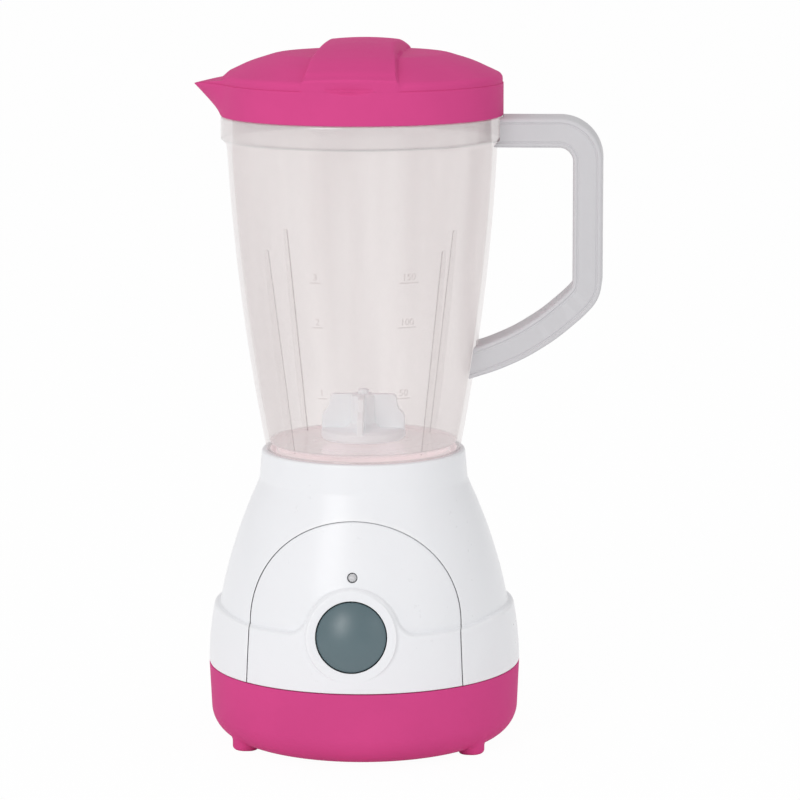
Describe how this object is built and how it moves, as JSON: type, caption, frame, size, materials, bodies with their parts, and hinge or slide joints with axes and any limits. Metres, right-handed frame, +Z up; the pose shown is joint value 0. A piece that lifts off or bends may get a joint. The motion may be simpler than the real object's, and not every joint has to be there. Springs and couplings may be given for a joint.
{
  "type": "toy blender",
  "caption": "Toy kitchen blender: clear lift-off jar with a handle, spouted lid and toy blade on a battery base with one push button",
  "frame": {"origin": "on the jar's axis, at the flat underside of the base", "axes": "+Z up along the jar's axis, -Y the front with the button, +X towards the handle"},
  "size_m": [0.1439, 0.1124, 0.25],
  "materials": {
    "white_plastic": "satin white ABS",
    "pink_plastic": "satin deep pink ABS",
    "grey_plastic": "fine satin light grey",
    "button_plastic": "gloss grey green",
    "clear_plastic": "clear polystyrene, slightly warm",
    "lamp_plastic": "clear lamp resin",
    "blade_plastic": "white moulded plastic",
    "natural_plastic": "natural acetal",
    "black_plastic": "black moulding",
    "board": "green coated laminate",
    "cell_jacket": "plain printed jacket over steel",
    "steel": "zinc or nickel plated steel",
    "brass": "sintered bronze",
    "red_wire": "soft red insulation",
    "black_wire": "soft black insulation"
  },
  "bodies": {
    "root": {"base_housing": "white_plastic", "front_panel": "white_plastic", "bottom_cover": "pink_plastic", "housing_screw_front_left": "steel", "housing_screw_front_right": "steel", "housing_screw_rear_left": "steel", "housing_screw_rear_right": "steel", "circuit_board": "board", "board_screw_left": "steel", "board_screw_right": "steel", "switch_body": "black_plastic", "led": "lamp_plastic", "lamp_lead_left": "steel", "lamp_lead_right": "steel", "motor_can": "steel", "motor_end_bell": "black_plastic", "motor_screw_left": "steel", "motor_screw_right": "steel", "motor_bracket": "natural_plastic", "bracket_screw_left": "steel", "bracket_screw_right": "steel", "bracket_screw_rear": "steel", "lower_bush": "brass", "upper_bush": "brass", "cell_front": "cell_jacket", "cell_rear": "cell_jacket", "contact_bridge": "steel", "contact_positive": "steel", "contact_negative": "steel", "contact_spring_front": "steel", "contact_spring_rear": "steel", "wire_positive": "red_wire", "wire_ground": "black_wire", "wire_motor": "red_wire", "wire_return": "black_wire"},
    "button": {"button_cap": "button_plastic", "switch_plunger": "black_plastic", "button_spring": "steel"},
    "door": {"battery_door": "pink_plastic", "door_screw": "steel"},
    "drive": {"drive_shaft": "steel", "drive_gear": "natural_plastic", "drive_coupling": "natural_plastic", "shaft_clip": "steel"},
    "pinion": {"motor_shaft": "steel", "motor_pinion": "natural_plastic"},
    "jar": {"jar": "clear_plastic", "handle": "grey_plastic", "blade_bush": "brass"},
    "blade": {"blade_rotor": "blade_plastic", "blade_shaft": "steel", "blade_coupling": "natural_plastic"},
    "lid": {"lid": "pink_plastic"}
  },
  "joints": [
    {"name": "button_press", "type": "slide", "parent": "root", "child": "button", "axis": [0, 0.9854, -0.1702], "range_m": [0, 0.0025], "stiffness_N_per_m": 250, "springref_m": -0.001, "deforming": ["button_spring"]},
    {"name": "door_swing", "type": "hinge", "parent": "root", "child": "door", "pos_m": [0, 0.00495, 0], "axis": [-1, 0, 0], "range_deg": [0, 60]},
    {"name": "drive_spin", "type": "hinge", "parent": "root", "child": "drive", "pos_m": [0, 0, 0.0725], "axis": [0, 0, 1], "continuous": true},
    {"name": "pinion_spin", "type": "hinge", "parent": "root", "child": "pinion", "pos_m": [0, 0.0192, 0.0725], "axis": [0, 0, 1], "continuous": true},
    {"name": "jar_lift", "type": "slide", "parent": "root", "child": "jar", "axis": [0, 0, 1], "range_m": [0, 0.03]},
    {"name": "blade_spin", "type": "hinge", "parent": "jar", "child": "blade", "pos_m": [0, 0, 0.107], "axis": [0, 0, 1], "continuous": true},
    {"name": "lid_lift", "type": "slide", "parent": "jar", "child": "lid", "axis": [0, 0, 1], "range_m": [0, 0.04]}
  ],
  "couplings": [
    {"joint": "pinion_spin", "follows": "drive_spin", "ratio": -3.8},
    {"joint": "blade_spin", "follows": "drive_spin", "ratio": 1}
  ]
}
